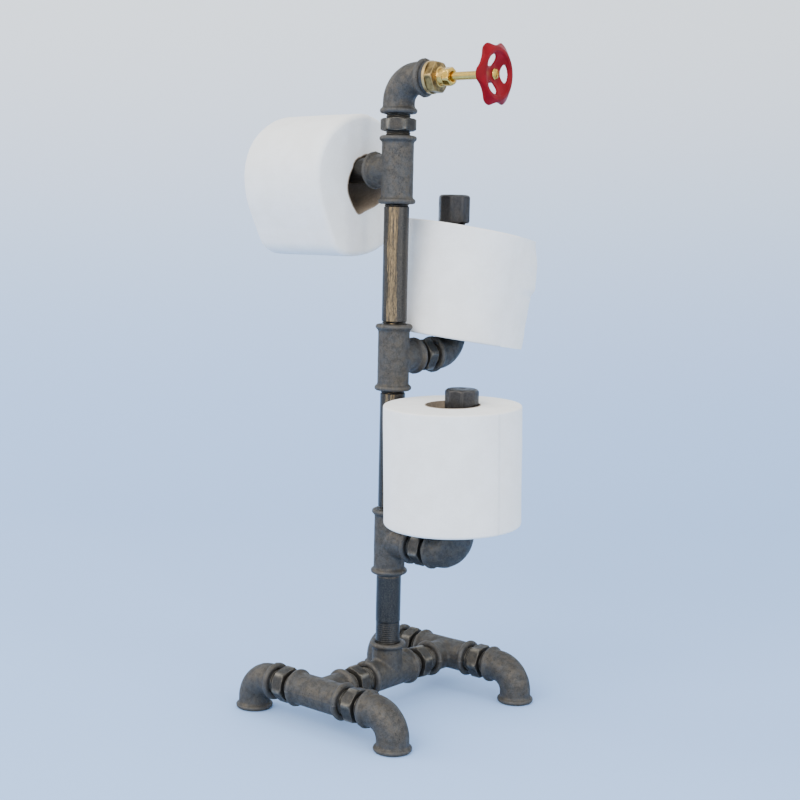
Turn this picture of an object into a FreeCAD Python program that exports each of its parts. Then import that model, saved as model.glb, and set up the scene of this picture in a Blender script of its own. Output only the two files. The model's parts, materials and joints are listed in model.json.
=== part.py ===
import FreeCAD, Part
import math
import os
import re
import Sketcher

# Free-standing toilet paper holder built from half-inch malleable-iron pipe fittings.
# Frame: origin on the floor under the post, +Z up, the two base legs run along X,
# the bar that joins them runs along Y. All sizes are millimetres and degrees.

os.makedirs("parts", exist_ok=True)
doc = FreeCAD.newDocument("toilet_paper_holder")

# ---------------------------------------------------------------- driving sizes
SIZES = {
    # half-inch pipe and its fittings
    "pipe_od": 21.3,
    "pipe_bore": 16.1,
    "thread_od": 20.9,
    "thread_grip": 9.0,
    "thread_lead": 0.8,
    "thread_fade": 0.5,
    "short_thread": 2.0,
    "long_thread": 18.0,
    "fitting_reach": 28.3,
    "fitting_od": 27.0,
    "branch_od": 26.4,
    "bead_od": 31.8,
    "bead_round": 2.4,
    "bend_radius": 19.5,
    "blend_radius": 2.5,
    "socket_bore": 21.1,
    "socket_depth": 13.2,
    "socket_lead": 1.0,
    "passage_bore": 18.6,
    # hexagon nipples: width over flats, height, and the gap they leave between fittings
    "hex_flats": 26.7,
    "hex_height": 10.3,
    "nipple_bore": 15.0,
    "leg_gap": 21.3,
    "bar_gap": 27.0,
    "arm_gap": 19.5,
    "top_gap": 17.8,
    # heights of the three tees on the post, and the way each branch points
    "lower_tee_z": 145.0,
    "middle_tee_z": 303.5,
    "upper_tee_z": 460.3,
    "lower_arm_turn": -2.1,
    "middle_arm_turn": 88.5,
    "upper_arm_turn": 176.7,
    "valve_turn": 3.5,
    # how far each hexagon is turned about its own axis when its thread is tight
    "front_left_hex_turn": 14.0,
    "front_right_hex_turn": -12.0,
    "rear_left_hex_turn": 22.0,
    "rear_right_hex_turn": 5.0,
    "bar_hex_turn": 10.0,
    "lower_arm_hex_turn": 14.0,
    "middle_arm_hex_turn": 52.0,
    "top_hex_turn": 32.0,
    "bonnet_hex_turn": 57.0,
    "gland_hex_turn": 22.0,
    "lower_cap_turn": 37.3,
    "middle_cap_turn": 25.8,
    "wheel_rest_turn": 5.0,
    "screw_slot_turn": 70.0,
    # roll posts and their octagonal caps
    "post_length": 85.6,
    "upper_arm_length": 112.0,
    "cap_flats": 26.2,
    "cap_height": 24.8,
    "cap_bevel": 2.6,
    "bevel_inset": 0.2,
    "cap_depth": 14.0,
    "cap_drill_point": 2.1,
    # toilet rolls
    "roll_od": 115.0,
    "roll_width": 97.0,
    "roll_round": 3.0,
    "core_od": 46.0,
    "core_bore": 44.0,
    "core_gap": 0.1,
    "roll_clearance": 0.3,
    # where each roll's lower end sits, and how far it leans towards +X and +Y
    "lower_roll_x": 71.2,
    "lower_roll_y": -4.8,
    "lower_roll_rise": 0.4,
    "lower_roll_lean": 2.1,
    "middle_roll_x": -0.7,
    "middle_roll_y": 72.6,
    "middle_roll_rise": 13.4,
    "middle_roll_lean_x": 4.5,
    "middle_roll_lean_y": 7.8,
    "upper_roll_start": 41.5,
    # stop-tap headwork
    "washer_od": 26.0,
    "washer_thick": 3.2,
    "flange_od": 27.0,
    "flange_thick": 2.9,
    "bonnet_flats": 24.0,
    "bonnet_hex": 6.8,
    "bonnet_taper": 1.3,
    "bonnet_shoulder": 2.0,
    "bonnet_shank": 10.0,
    "neck_od": 14.4,
    "neck_length": 4.6,
    "neck_thread_od": 11.4,
    "neck_thread": 4.9,
    "gland_flats": 14.0,
    "gland_length": 6.6,
    "gland_cavity": 10.4,
    "packing_thick": 3.0,
    "spindle_od": 6.8,
    "spindle_screw_od": 9.0,
    "spindle_screw": 14.0,
    "running_gap": 0.06,
    "loose_gap": 0.1,
    "edge_break": 0.4,
    "drill_point": 1.0,
    "spindle_tip_gap": 0.3,
    "screw_lead": 0.6,
    "shoulder_rise": 3.0,
    "gland_mouth": 1.1,
    "gland_mouth_depth": 1.0,
    "jumper_od": 11.0,
    "jumper_thick": 3.0,
    "jumper_pin_od": 3.0,
    "jumper_pin": 1.0,
    "jumper_stem_od": 3.8,
    "jumper_stem": 5.5,
    "jumper_washer_od": 10.4,
    "jumper_washer": 2.2,
    # handwheel
    "wheel_start": 92.4,
    "wheel_depth": 5.45,
    "wheel_od": 53.0,
    "scallop_radius": 18.0,
    "scallop_reach": 40.2,
    "lobe_round": 6.0,
    "rim_round": 1.2,
    "crest_od": 41.0,
    "crest_drop": 1.3,
    "crest_width": 1.9,
    "flank_rise": 1.6,
    "dish_od": 33.6,
    "dish_edge": 1.2,
    "dish_depth": 4.1,
    "web_thick": 1.9,
    "skirt_bore": 42.0,
    "hub_od": 13.6,
    "hub_length": 6.0,
    "hub_bore": 6.86,
    "window_middle": 11.9,
    "window_reach": 4.2,
    "window_half": 7.2,
    "screw_head_od": 9.0,
    "screw_head": 2.2,
    "screw_od": 3.4,
    "screw_length": 8.0,
    "slot_width": 1.1,
    "slot_depth": 0.9,
}

sheet = doc.addObject("Spreadsheet::Sheet", "Sizes")
for row, (alias, value) in enumerate(SIZES.items(), start=1):
    sheet.set(f"A{row}", alias)
    sheet.set(f"B{row}", str(value))
    sheet.setAlias(f"B{row}", alias)
doc.recompute()

FULL_TURN = 360
HEX = 6
OCTAGON = 8
WHEEL_WINDOWS = 3
OVAL_STEPS = 16         # corners of a window's outline
OVERCUT = 1.0          # how far a cutting outline stands outside the solid it cuts


def size(alias):
    return float(sheet.get(alias))


def s(text):
    """The expression with every @name turned into a reference to the sheet."""
    return re.sub(r"@(\w+)", r"Sizes.\1", text)


# ---------------------------------------------------------------- sketch helpers
def new_body(label):
    body = doc.addObject("PartDesign::Body", label)
    body.Label = label
    return body


def origin_plane(body, role):
    return next(f for f in body.Origin.OriginFeatures if f.Role == role)


def new_sketch(body, name, role, lift=None):
    """A sketch on one of the body's origin planes, lifted along the plane's normal."""
    sketch = body.newObject("Sketcher::SketchObject", f"{body.Label}_{name}")
    sketch.AttachmentSupport = [(origin_plane(body, role), "")]
    sketch.MapMode = "FlatFace"
    if lift:
        sketch.setExpression("AttachmentOffset.Base.z", s(lift))
    return sketch


def pin_point(sketch, geometry, point, x, y, tag):
    """Ties one point of a sketch to two expressions measured from the sketch's origin. An
    expression of None leaves that direction free."""
    now = sketch.getPoint(geometry, point)
    for axis, value, drawn in (("X", x, now.x), ("Y", y, now.y)):
        if value is None:
            continue
        index = sketch.addConstraint(
            Sketcher.Constraint(f"Distance{axis}", -1, 1, geometry, point, drawn)
        )
        sketch.renameConstraint(index, f"{tag}_{axis.lower()}")
        sketch.setExpression(f"Constraints.{tag}_{axis.lower()}", s(value))


def add_circle(sketch, x, y, radius, tag="ring"):
    circle = sketch.addGeometry(
        Part.Circle(FreeCAD.Vector(1, 1, 0), FreeCAD.Vector(0, 0, 1), 1.0), False
    )
    pin_point(sketch, circle, 3, x, y, tag)
    index = sketch.addConstraint(Sketcher.Constraint("Radius", circle, 1.0))
    sketch.renameConstraint(index, f"{tag}_radius")
    sketch.setExpression(f"Constraints.{tag}_radius", s(radius))


def add_outline(sketch, corners):
    """A closed outline of straight lines through corners given as pairs of expressions."""
    start = sketch.GeometryCount
    count = len(corners)
    for i in range(count):
        turn = 2 * math.pi * i / count
        onward = 2 * math.pi * (i + 1) / count
        line = Part.LineSegment(
            FreeCAD.Vector(math.cos(turn), math.sin(turn), 0),
            FreeCAD.Vector(math.cos(onward), math.sin(onward), 0),
        )
        sketch.addGeometry(line, False)
    for i in range(count):
        following = start + (i + 1) % count
        sketch.addConstraint(Sketcher.Constraint("Coincident", start + i, 2, following, 1))
    for i, (x, y) in enumerate(corners):
        pin_point(sketch, start + i, 1, x, y, f"corner{i}")


def turned(body, name, kind, corners, axis="V_Axis"):
    """A Revolution or Groove of an outline of (radius, along) pairs about the body's Z axis,
    or about its X axis when axis is H_Axis."""
    sketch = new_sketch(body, f"{name}_outline", "XZ_Plane")
    if axis == "H_Axis":
        corners = [(along, radius) for radius, along in corners]
    add_outline(sketch, corners)
    feature = body.newObject(f"PartDesign::{kind}", f"{body.Label}_{name}")
    feature.Profile = sketch
    feature.ReferenceAxis = (sketch, [axis])
    feature.Angle = FULL_TURN
    return feature


def bead(body, name, along, axis="V_Axis"):
    """The rounded band round the end of a fitting: a circle revolved about the end's axis."""
    sketch = new_sketch(body, f"{name}_circle", "XZ_Plane")
    radius = "@bead_od / 2 - @bead_round"
    place = (radius, along) if axis == "V_Axis" else (along, radius)
    add_circle(sketch, place[0], place[1], "@bead_round")
    feature = body.newObject("PartDesign::Revolution", f"{body.Label}_{name}")
    feature.Profile = sketch
    feature.ReferenceAxis = (sketch, [axis])
    feature.Angle = FULL_TURN


def padded(body, name, sketch, length):
    feature = body.newObject("PartDesign::Pad", f"{body.Label}_{name}")
    feature.Profile = sketch
    feature.setExpression("Length", s(length))
    return feature


def socket(body, name, mouth, inward, axis="V_Axis"):
    """A female pipe thread's bore with a bevelled lead at its mouth."""
    wall = "@socket_bore / 2"
    lead = "@socket_bore / 2 + @socket_lead"
    step = f"{inward} * @socket_lead"
    corners = [
        ("0", mouth),
        (lead, mouth),
        (wall, f"{mouth} + {step}"),
        (wall, f"{mouth} + {inward} * @socket_depth"),
        ("0", f"{mouth} + {inward} * @socket_depth"),
    ]
    turned(body, name, "Groove", corners, axis)


def polygon(sides, across_flats, turn="0"):
    """Corners of a regular polygon as expressions, its first corner turned from the X axis."""
    radius = f"({across_flats}) / 2 / cos({180 / sides})"
    corners = []
    for i in range(sides):
        angle = f"({turn} + {FULL_TURN / sides * i})"
        corners.append((f"{radius} * cos({angle})", f"{radius} * sin({angle})"))
    return corners


def bevel_ring(body, name, across_flats, sides, end, inward, depth):
    """Turns the corners of a polygonal bar down to its flats at one end, at 30 degrees."""
    corner = f"({across_flats}) / 2 / cos({180 / sides}) + {OVERCUT}"
    inner = f"({across_flats}) / 2 - @bevel_inset"
    slope = f"({corner} - ({inner})) * tan(30) * {depth}"
    turned(
        body,
        name,
        "Groove",
        [
            (inner, f"{end} + {-inward} * {OVERCUT}"),
            (corner, f"{end} + {-inward} * {OVERCUT}"),
            (corner, f"{end} + {inward} * {slope}"),
            (inner, end),
        ],
    )


# ---------------------------------------------------------------- pipe fittings
def make_tee(label):
    """Equal tee: the run along Z, the branch towards +X."""
    body = new_body(label)
    reach = "@fitting_reach"
    turned(
        body,
        "run",
        "Revolution",
        [("0", f"-{reach}"), ("@fitting_od / 2", f"-{reach}"), ("@fitting_od / 2", reach), ("0", reach)],
    )
    branch = new_sketch(body, "branch_circle", "YZ_Plane")
    add_circle(branch, "0", "0", "@branch_od / 2")
    padded(body, "branch", branch, reach)
    doc.recompute()
    blend_branch(body)
    bead(body, "bead_low", "@bead_round - @fitting_reach")
    bead(body, "bead_high", "@fitting_reach - @bead_round")
    bead(body, "bead_branch", "@fitting_reach - @bead_round", "H_Axis")
    turned(
        body,
        "run_passage",
        "Groove",
        [
            ("0", f"-{reach} - {OVERCUT}"),
            ("@passage_bore / 2", f"-{reach} - {OVERCUT}"),
            ("@passage_bore / 2", f"{reach} + {OVERCUT}"),
            ("0", f"{reach} + {OVERCUT}"),
        ],
    )
    turned(
        body,
        "branch_passage",
        "Groove",
        [
            ("0", "0"),
            ("@passage_bore / 2", "0"),
            ("@passage_bore / 2", f"{reach} + {OVERCUT}"),
            ("0", f"{reach} + {OVERCUT}"),
        ],
        "H_Axis",
    )
    socket(body, "socket_low", f"-{reach}", 1)
    socket(body, "socket_high", reach, -1)
    socket(body, "socket_branch", reach, -1, "H_Axis")
    return body


def blend_branch(body):
    """Rounds the corner where the branch leaves the run."""
    solid = body.Tip
    edges = []
    for i, edge in enumerate(solid.Shape.Edges, start=1):
        if edge.Curve.TypeId == "Part::GeomBSplineCurve":
            edges.append(f"Edge{i}")
    fillet = body.newObject("PartDesign::Fillet", f"{body.Label}_blend")
    fillet.Base = (solid, edges)
    fillet.setExpression("Radius", s("@blend_radius"))


def make_elbow(label):
    """Equal 90 degree elbow: one leg towards +X, the other towards +Z."""
    body = new_body(label)
    reach = size("fitting_reach")
    bend = size("bend_radius")
    path = new_sketch(body, "path", "XZ_Plane")
    centre = FreeCAD.Vector(bend, bend, 0)
    up = FreeCAD.Vector(0, 0, 1)
    path.addGeometry(Part.LineSegment(FreeCAD.Vector(reach, 0, 0), FreeCAD.Vector(bend, 0, 0)), False)
    path.addGeometry(
        Part.ArcOfCircle(Part.Circle(centre, up, bend), math.pi, 1.5 * math.pi), False
    )
    path.addGeometry(Part.LineSegment(FreeCAD.Vector(0, bend, 0), FreeCAD.Vector(0, reach, 0)), False)
    path.addConstraint(Sketcher.Constraint("Coincident", 0, 2, 1, 2))
    path.addConstraint(Sketcher.Constraint("Coincident", 1, 1, 2, 1))
    pin_point(path, 0, 1, "@fitting_reach", "0", "mouth")
    pin_point(path, 0, 2, "@bend_radius", "0", "bend_in")
    pin_point(path, 1, 3, "@bend_radius", None, "centre")
    pin_point(path, 1, 1, "0", "@bend_radius", "bend_out")
    pin_point(path, 2, 2, "0", "@fitting_reach", "outlet")
    for name, kind, radius in (
        ("shell", "AdditivePipe", "@fitting_od / 2"),
        ("passage", "SubtractivePipe", "@passage_bore / 2"),
    ):
        section = new_sketch(body, f"{name}_circle", "YZ_Plane", "@fitting_reach")
        add_circle(section, "0", "0", radius)
        pipe = body.newObject(f"PartDesign::{kind}", f"{body.Label}_{name}")
        pipe.Profile = section
        pipe.Spine = (path, ["Edge1", "Edge2", "Edge3"])
        doc.recompute()
        if name == "shell":
            bead(body, "bead_side", "@fitting_reach - @bead_round", "H_Axis")
            bead(body, "bead_end", "@fitting_reach - @bead_round")
    socket(body, "socket_side", "@fitting_reach", -1, "H_Axis")
    socket(body, "socket_end", "@fitting_reach", -1)
    return body


def make_nipple(label, gap):
    """Hexagon nipple centred on its hexagon, axis along Z, a thread out of each side."""
    body = new_body(label)
    half = f"({gap}) / 2 + @thread_grip"
    hexagon = new_sketch(body, "hexagon", "XY_Plane", "-@hex_height / 2")
    add_outline(hexagon, polygon(HEX, "@hex_flats"))
    padded(body, "hex", hexagon, "@hex_height")
    bevel_ring(body, "bevel_low", "@hex_flats", HEX, "-@hex_height / 2", 1, "0.6")
    bevel_ring(body, "bevel_high", "@hex_flats", HEX, "@hex_height / 2", -1, "0.6")
    turned(
        body,
        "threads",
        "Revolution",
        [
            ("@nipple_bore / 2", f"-({half})"),
            ("@thread_od / 2 - @thread_lead", f"-({half})"),
            ("@thread_od / 2", f"-({half}) + @thread_lead"),
            ("@thread_od / 2", f"{half} - @thread_lead"),
            ("@thread_od / 2 - @thread_lead", half),
            ("@nipple_bore / 2", half),
        ],
    )
    bore = new_sketch(body, "bore_circle", "XY_Plane", "-@hex_height / 2")
    add_circle(bore, "0", "0", "@nipple_bore / 2")
    pocket = body.newObject("PartDesign::Pocket", f"{body.Label}_bore")
    pocket.Profile = bore
    pocket.Type = "ThroughAll"
    pocket.Midplane = True
    return body


def make_pipe(label, exposed, low_thread="@short_thread", high_thread="@short_thread"):
    """Pipe with both ends threaded. Z = 0 where it leaves the fitting below it."""
    body = new_body(label)
    wall = "@pipe_od / 2"
    thread = "@thread_od / 2"
    bore = "@pipe_bore / 2"
    top = f"({exposed}) + @thread_grip"
    turned(
        body,
        "barrel",
        "Revolution",
        [
            (bore, "-@thread_grip"),
            (thread, "-@thread_grip"),
            (thread, low_thread),
            (wall, f"{low_thread} + @thread_fade"),
            (wall, f"({exposed}) - {high_thread} - @thread_fade"),
            (thread, f"({exposed}) - {high_thread}"),
            (thread, top),
            (bore, top),
        ],
    )
    return body


def make_cap(label):
    """Octagonal cap, open end at Z = 0, its closed end bevelled all round."""
    body = new_body(label)
    octagon = new_sketch(body, "octagon", "XY_Plane")
    add_outline(octagon, polygon(OCTAGON, "@cap_flats"))
    padded(body, "block", octagon, "@cap_height")
    turned(
        body,
        "shoulder",
        "Groove",
        [
            ("@cap_flats / 2 - @cap_bevel", f"@cap_height + {OVERCUT}"),
            (f"@cap_flats / 2 + 2 * {OVERCUT}", f"@cap_height + {OVERCUT}"),
            (f"@cap_flats / 2 + 2 * {OVERCUT}", "@cap_height - @cap_bevel"),
            ("@cap_flats / 2 - @edge_break", "@cap_height - @cap_bevel / 2"),
            ("@cap_flats / 2 - @cap_bevel", "@cap_height"),
        ],
    )
    turned(
        body,
        "socket",
        "Groove",
        [
            ("0", f"-{OVERCUT}"),
            ("@socket_bore / 2", f"-{OVERCUT}"),
            ("@socket_bore / 2", "@cap_depth"),
            ("0", "@cap_depth + @cap_drill_point"),
        ],
    )
    return body


# ---------------------------------------------------------------- stop-tap headwork
# Every piece below has its axis along Z, with Z = 0 on the post's axis.
FACE = "@fitting_reach"
FLANGE = f"{FACE} + @washer_thick"
HEX_START = f"{FLANGE} + @flange_thick"
HEX_END = f"{HEX_START} + @bonnet_hex"
TAPER_END = f"{HEX_END} + @bonnet_taper"
NECK_END = f"{TAPER_END} + @neck_length"
NECK_TIP = f"{NECK_END} + @neck_thread"
GLAND_START = f"{NECK_END} + @loose_gap"
GLAND_END = f"{GLAND_START} + @gland_length"
SHANK_END = f"{FLANGE} - @bonnet_shank"
SHOULDER = f"{FLANGE} + @shoulder_rise"
SCREW_START = f"{SHOULDER} - @spindle_screw"
PACKING_START = f"{NECK_TIP} - @packing_thick - @edge_break"
HUB_FRONT = "@wheel_start + @wheel_depth - @dish_depth"


def ring(label, inner, outer, low, high):
    """A plain ring between two radii and two heights."""
    body = new_body(label)
    turned(body, "ring", "Revolution", [(inner, low), (outer, low), (outer, high), (inner, high)])
    return body


def make_bonnet(label):
    body = new_body(label)
    hexagon = new_sketch(body, "hexagon", "XY_Plane", HEX_START)
    add_outline(hexagon, polygon(HEX, "@bonnet_flats"))
    padded(body, "hex", hexagon, "@bonnet_hex")
    bevel_ring(body, "bevel", "@bonnet_flats", HEX, HEX_END, -1, "1.0")
    turned(
        body,
        "turning",
        "Revolution",
        [
            ("0", SHANK_END),
            ("@thread_od / 2 - @thread_lead", SHANK_END),
            ("@thread_od / 2", f"{SHANK_END} + @thread_lead"),
            ("@thread_od / 2", FLANGE),
            ("@flange_od / 2 - @edge_break", FLANGE),
            ("@flange_od / 2", f"{FLANGE} + @edge_break"),
            ("@flange_od / 2", f"{HEX_START} - @edge_break"),
            ("@flange_od / 2 - @edge_break", HEX_START),
            ("@bonnet_flats / 2 - @edge_break", HEX_START),
            ("@bonnet_flats / 2 - @bonnet_shoulder", HEX_END),
            ("@neck_od / 2", TAPER_END),
            ("@neck_od / 2", NECK_END),
            ("@neck_thread_od / 2", NECK_END),
            ("@neck_thread_od / 2", NECK_TIP),
            ("0", NECK_TIP),
        ],
    )
    screw_wall = "@spindle_screw_od / 2 + @running_gap"
    shaft_wall = "@spindle_od / 2 + @running_gap"
    turned(
        body,
        "bore",
        "Groove",
        [
            ("0", f"{SHANK_END} - {OVERCUT}"),
            (screw_wall, f"{SHANK_END} - {OVERCUT}"),
            (screw_wall, SHOULDER),
            (shaft_wall, SHOULDER),
            (shaft_wall, PACKING_START),
            ("@gland_cavity / 2", PACKING_START),
            ("@gland_cavity / 2", f"{NECK_TIP} + {OVERCUT}"),
            ("0", f"{NECK_TIP} + {OVERCUT}"),
        ],
    )
    return body


def make_gland_nut(label):
    body = new_body(label)
    hexagon = new_sketch(body, "hexagon", "XY_Plane", GLAND_START)
    add_outline(hexagon, polygon(HEX, "@gland_flats"))
    padded(body, "hex", hexagon, "@gland_length")
    bevel_ring(body, "bevel_low", "@gland_flats", HEX, GLAND_START, 1, "1.0")
    bevel_ring(body, "bevel_high", "@gland_flats", HEX, GLAND_END, -1, "1.0")
    turned(
        body,
        "bore",
        "Groove",
        [
            ("0", NECK_END),
            ("@neck_thread_od / 2 + @running_gap", NECK_END),
            ("@neck_thread_od / 2 + @running_gap", f"{NECK_TIP} + @loose_gap"),
            ("@spindle_od / 2 + @running_gap", f"{NECK_TIP} + @loose_gap"),
            ("@spindle_od / 2 + @running_gap", f"{GLAND_END} - @gland_mouth_depth"),
            ("@spindle_od / 2 + @gland_mouth", GLAND_END),
            ("@spindle_od / 2 + @gland_mouth", f"{GLAND_END} + {OVERCUT}"),
            ("0", f"{GLAND_END} + {OVERCUT}"),
        ],
    )
    return body


def make_spindle(label):
    """Threaded inside the bonnet, plain outside, with a blind hole at each end."""
    body = new_body(label)
    tip = f"{HUB_FRONT} - @spindle_tip_gap"
    turned(
        body,
        "shaft",
        "Revolution",
        [
            ("0", SCREW_START),
            ("@spindle_screw_od / 2 - @screw_lead", SCREW_START),
            ("@spindle_screw_od / 2", f"{SCREW_START} + @screw_lead"),
            ("@spindle_screw_od / 2", f"{SHOULDER} - @loose_gap"),
            ("@spindle_od / 2", f"{SHOULDER} - @loose_gap"),
            ("@spindle_od / 2", tip),
            ("0", tip),
        ],
    )
    stem_wall = "@jumper_stem_od / 2 + @running_gap"
    turned(
        body,
        "jumper_hole",
        "Groove",
        [
            ("0", f"{SCREW_START} - {OVERCUT}"),
            (stem_wall, f"{SCREW_START} - {OVERCUT}"),
            (stem_wall, f"{SCREW_START} + @jumper_stem + @edge_break"),
            ("0", f"{SCREW_START} + @jumper_stem + @edge_break + @drill_point"),
        ],
    )
    turned(
        body,
        "screw_hole",
        "Groove",
        [
            ("0", f"{tip} - @screw_length - @drill_point"),
            ("@screw_od / 2 + @running_gap", f"{tip} - @screw_length"),
            ("@screw_od / 2 + @running_gap", f"{tip} + {OVERCUT}"),
            ("0", f"{tip} + {OVERCUT}"),
        ],
    )
    return body


def make_jumper(label):
    """The loose valve disc: its stem hangs in the spindle's end and it cannot turn."""
    body = new_body(label)
    face = f"{SCREW_START} - @roll_clearance"
    back = f"{face} - @jumper_thick"
    turned(
        body,
        "disc",
        "Revolution",
        [
            ("0", f"{back} - @jumper_washer - @jumper_pin"),
            ("@jumper_pin_od / 2", f"{back} - @jumper_washer - @jumper_pin"),
            ("@jumper_pin_od / 2", back),
            ("@jumper_od / 2", back),
            ("@jumper_od / 2", f"{face} - @edge_break"),
            ("@jumper_od / 2 - @edge_break", face),
            ("@jumper_stem_od / 2", face),
            ("@jumper_stem_od / 2", f"{face} + @jumper_stem"),
            ("0", f"{face} + @jumper_stem"),
        ],
    )
    return body


def make_handwheel(label):
    """Six-lobed wheel: a scalloped disc whose flank widens towards its back, hollow behind a thin
    dished web that has three oval windows round the hub."""
    body = new_body(label)
    blank = new_sketch(body, "blank_circle", "XY_Plane", "@wheel_start")
    add_circle(blank, "0", "0", "@wheel_od / 2")
    padded(body, "blank", blank, "@wheel_depth")
    bite = new_sketch(body, "scallop_circle", "XY_Plane", f"@wheel_start - {OVERCUT}")
    add_circle(bite, "@scallop_reach * cos(30)", "@scallop_reach * sin(30)", "@scallop_radius")
    scallop = body.newObject("PartDesign::Pocket", f"{label}_scallop")
    scallop.Profile = bite
    scallop.Type = "ThroughAll"
    scallop.Midplane = True
    polar(body, scallop, HEX, "scallops")
    round_lobes(body)
    front = "@wheel_start + @wheel_depth"
    edge = "@dish_od / 2"
    crest = "@crest_od / 2"
    turned(
        body,
        "flank",
        "Groove",
        [
            (crest, f"{front} + {OVERCUT}"),
            (crest, front),
            (f"{crest} + @crest_width", f"{front} - @crest_drop"),
            ("@wheel_od / 2", "@wheel_start + @flank_rise"),
            (f"@wheel_od / 2 + {OVERCUT}", "@wheel_start + @flank_rise"),
            (f"@wheel_od / 2 + {OVERCUT}", f"{front} + {OVERCUT}"),
        ],
    )
    turned(
        body,
        "dish",
        "Groove",
        [
            ("0", f"{front} + {OVERCUT}"),
            ("0", HUB_FRONT),
            ("@hub_od / 2", HUB_FRONT),
            (edge, f"{front} - @dish_edge"),
            (f"{edge} + @dish_edge", f"{front} + @edge_break"),
            (f"{edge} + @dish_edge", f"{front} + {OVERCUT}"),
        ],
    )
    turned(
        body,
        "back",
        "Groove",
        [
            ("0", "@wheel_start - @hub_length"),
            ("0", f"{HUB_FRONT} - @web_thick"),
            ("@hub_od / 2", f"{HUB_FRONT} - @web_thick"),
            (edge, f"{front} - @dish_edge - @web_thick"),
            ("@skirt_bore / 2", "@wheel_start"),
            ("@skirt_bore / 2", "@wheel_start - @hub_length"),
        ],
    )
    turned(
        body,
        "hub",
        "Revolution",
        [
            ("0", "@wheel_start - @hub_length"),
            ("@hub_od / 2 - @edge_break", "@wheel_start - @hub_length"),
            ("@hub_od / 2", "@wheel_start - @hub_length + @edge_break"),
            ("@hub_od / 2", HUB_FRONT),
            ("0", HUB_FRONT),
        ],
    )
    turned(
        body,
        "hub_bore",
        "Groove",
        [
            ("0", f"@wheel_start - @hub_length - {OVERCUT}"),
            ("@hub_bore / 2", f"@wheel_start - @hub_length - {OVERCUT}"),
            ("@hub_bore / 2", f"{HUB_FRONT} + {OVERCUT}"),
            ("0", f"{HUB_FRONT} + {OVERCUT}"),
        ],
    )
    outline = new_sketch(body, "window_outline", "XY_Plane", "@wheel_start")
    corners = []
    for step in range(OVAL_STEPS):
        turn = step * FULL_TURN / OVAL_STEPS
        corners.append((f"@window_middle + @window_reach * cos({turn})", f"@window_half * sin({turn})"))
    add_outline(outline, corners)
    window = body.newObject("PartDesign::Pocket", f"{label}_window")
    window.Profile = outline
    window.Type = "ThroughAll"
    window.Midplane = True
    polar(body, window, WHEEL_WINDOWS, "windows")
    return body


def polar(body, feature, count, name):
    """Repeats a feature round the body's Z axis."""
    doc.recompute()
    pattern = body.newObject("PartDesign::PolarPattern", f"{body.Label}_{name}")
    pattern.Originals = [feature]
    pattern.Axis = (next(f for f in body.Origin.OriginFeatures if f.Role == "Z_Axis"), [""])
    pattern.Angle = FULL_TURN
    pattern.Occurrences = count
    body.Tip = pattern
    doc.recompute()


def round_lobes(body):
    """Rounds the two upright corners of each lobe, then the back edge of the rim."""
    depth = size("wheel_depth")
    solid = body.Tip
    upright = []
    for i, edge in enumerate(solid.Shape.Edges, start=1):
        if abs(edge.BoundBox.ZLength - depth) < 0.01 and edge.Curve.TypeId == "Part::GeomLine":
            upright.append(f"Edge{i}")
    lobes = body.newObject("PartDesign::Fillet", f"{body.Label}_lobes")
    lobes.Base = (solid, upright)
    lobes.setExpression("Radius", s("@lobe_round"))
    doc.recompute()
    flat = []
    for i, edge in enumerate(lobes.Shape.Edges, start=1):
        if edge.BoundBox.ZLength < 0.01 and abs(edge.BoundBox.ZMin - size("wheel_start")) < 0.01:
            flat.append(f"Edge{i}")
    rim = body.newObject("PartDesign::Fillet", f"{body.Label}_rim")
    rim.Base = (lobes, flat)
    rim.setExpression("Radius", s("@rim_round"))
    doc.recompute()


def make_wheel_screw(label):
    """Domed, slotted screw that holds the wheel on the spindle."""
    body = new_body(label)
    head = "@screw_head_od / 2"
    turned(
        body,
        "turning",
        "Revolution",
        [
            ("0", f"{HUB_FRONT} - @screw_length"),
            ("@screw_od / 2", f"{HUB_FRONT} - @screw_length"),
            ("@screw_od / 2", HUB_FRONT),
            (head, HUB_FRONT),
            (head, f"{HUB_FRONT} + @screw_head * 0.3"),
            (f"{head} * 0.8", f"{HUB_FRONT} + @screw_head * 0.72"),
            (f"{head} * 0.45", f"{HUB_FRONT} + @screw_head * 0.94"),
            ("0", f"{HUB_FRONT} + @screw_head"),
        ],
    )
    slot = new_sketch(body, "slot_outline", "XY_Plane", f"{HUB_FRONT} + @screw_head - @slot_depth")
    half = "@slot_width / 2"
    far = f"{head} + {OVERCUT}"
    add_outline(slot, [(f"-({far})", f"-{half}"), (far, f"-{half}"), (far, half), (f"-({far})", half)])
    cut = body.newObject("PartDesign::Pocket", f"{label}_slot")
    cut.Profile = slot
    cut.Reversed = True
    cut.setExpression("Length", s(f"@slot_depth + {OVERCUT}"))
    return body


# ---------------------------------------------------------------- toilet rolls
def make_roll(label):
    """The wound paper, a thick tube with rounded rims. Z = 0 at its lower end."""
    body = new_body(label)
    inner = "@core_od / 2 + @core_gap / 2"
    outer = "@roll_od / 2"
    turned(
        body,
        "paper",
        "Revolution",
        [
            (inner, "0"),
            (f"{outer} - @roll_round", "0"),
            (f"{outer} - @roll_round * 0.3", "@roll_round * 0.3"),
            (outer, "@roll_round"),
            (outer, "@roll_width - @roll_round"),
            (f"{outer} - @roll_round * 0.3", "@roll_width - @roll_round * 0.3"),
            (f"{outer} - @roll_round", "@roll_width"),
            (inner, "@roll_width"),
        ],
    )
    return body


# ---------------------------------------------------------------- placing
def axis_turn(x, y, z, degrees):
    return FreeCAD.Rotation(FreeCAD.Vector(x, y, z), degrees)


Z_TO_X = axis_turn(1, 1, 1, 120)       # local Z to X, local X to Y
Z_TO_Y = axis_turn(1, 1, 1, 240)       # local Z to Y, local X to Z
NO_TURN = axis_turn(0, 0, 1, 0)


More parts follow.
